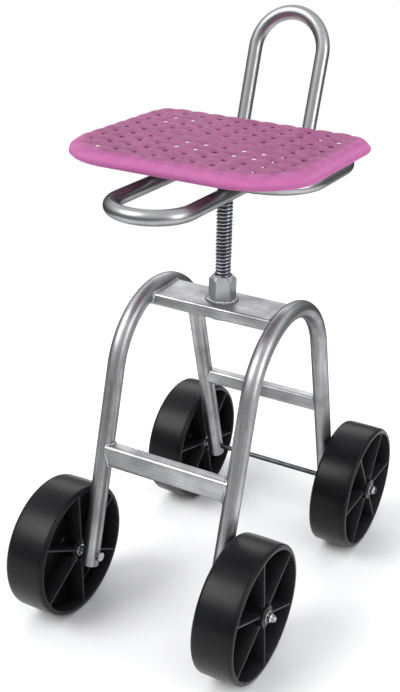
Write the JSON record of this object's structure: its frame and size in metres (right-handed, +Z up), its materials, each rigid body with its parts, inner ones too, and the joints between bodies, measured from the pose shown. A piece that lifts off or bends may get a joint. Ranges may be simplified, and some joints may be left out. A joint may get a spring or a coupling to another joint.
{
  "type": "rolling garden seat",
  "caption": "Garden work seat with a perforated moulded seat and tube back handle on a lift screw, over a bent-tube chassis on ribbed plastic wheels.",
  "frame": {"origin": "on the ground, straight below the lift screw, midway between the four wheels", "axes": "+X to the sitter's right along the axles, +Y to the rear where the back handle stands, +Z up"},
  "size_m": [0.3918, 0.581, 0.825],
  "materials": {
    "satin_zinc": "satin",
    "bright_zinc": "satin",
    "screw_steel": "machined",
    "polished_tube": "polished",
    "wheel_plastic": "satin",
    "seat_plastic": "satin"
  },
  "bodies": {
    "chassis": {"left_arch_tube": "satin_zinc", "right_arch_tube": "satin_zinc", "bridge_tube": "satin_zinc", "front_crossbar": "satin_zinc", "rear_crossbar": "satin_zinc", "lift_nut": "bright_zinc", "nut_weld_bead": "bright_zinc", "rear_axle_rod": "bright_zinc", "front_left_axle_bolt": "bright_zinc", "front_right_axle_bolt": "bright_zinc", "axle_jam_nuts": "bright_zinc", "axle_inner_washers": "bright_zinc", "axle_outer_washers": "bright_zinc", "axle_lock_nuts": "bright_zinc"},
    "front_left_roller": {"front_left_wheel": "wheel_plastic"},
    "front_right_roller": {"front_right_wheel": "wheel_plastic"},
    "rear_left_roller": {"rear_left_wheel": "wheel_plastic"},
    "rear_right_roller": {"rear_right_wheel": "wheel_plastic"},
    "lift_collar": {"stop_collar": "screw_steel"},
    "seat": {"lift_screw": "screw_steel", "screw_top_plate": "satin_zinc", "seat_rim_tube": "polished_tube", "front_loop_tube": "polished_tube", "back_handle_tube": "polished_tube", "seat_mounting_tabs": "satin_zinc", "seat_shell": "seat_plastic", "seat_screws": "bright_zinc"}
  },
  "joints": [
    {"name": "front_left_spin", "type": "hinge", "parent": "chassis", "child": "front_left_roller", "pos_m": [-0.15, -0.189, 0.1015], "axis": [1, 0, 0], "continuous": true},
    {"name": "front_right_spin", "type": "hinge", "parent": "chassis", "child": "front_right_roller", "pos_m": [0.15, -0.189, 0.1015], "axis": [1, 0, 0], "continuous": true},
    {"name": "rear_left_spin", "type": "hinge", "parent": "chassis", "child": "rear_left_roller", "pos_m": [-0.15, 0.189, 0.1015], "axis": [1, 0, 0], "continuous": true},
    {"name": "rear_right_spin", "type": "hinge", "parent": "chassis", "child": "rear_right_roller", "pos_m": [0.15, 0.189, 0.1015], "axis": [1, 0, 0], "continuous": true},
    {"name": "seat_lift", "type": "slide", "parent": "chassis", "child": "lift_collar", "axis": [0, 0, 1], "range_m": [-0.1201, 0.0001]},
    {"name": "seat_turn", "type": "hinge", "parent": "lift_collar", "child": "seat", "pos_m": [0, 0, 0.475], "axis": [0, 0, 1], "range_deg": [-8640, 0]}
  ],
  "couplings": [
    {"joint": "seat_lift", "follows": "seat_turn", "m_per_rad": 0.00079577}
  ]
}
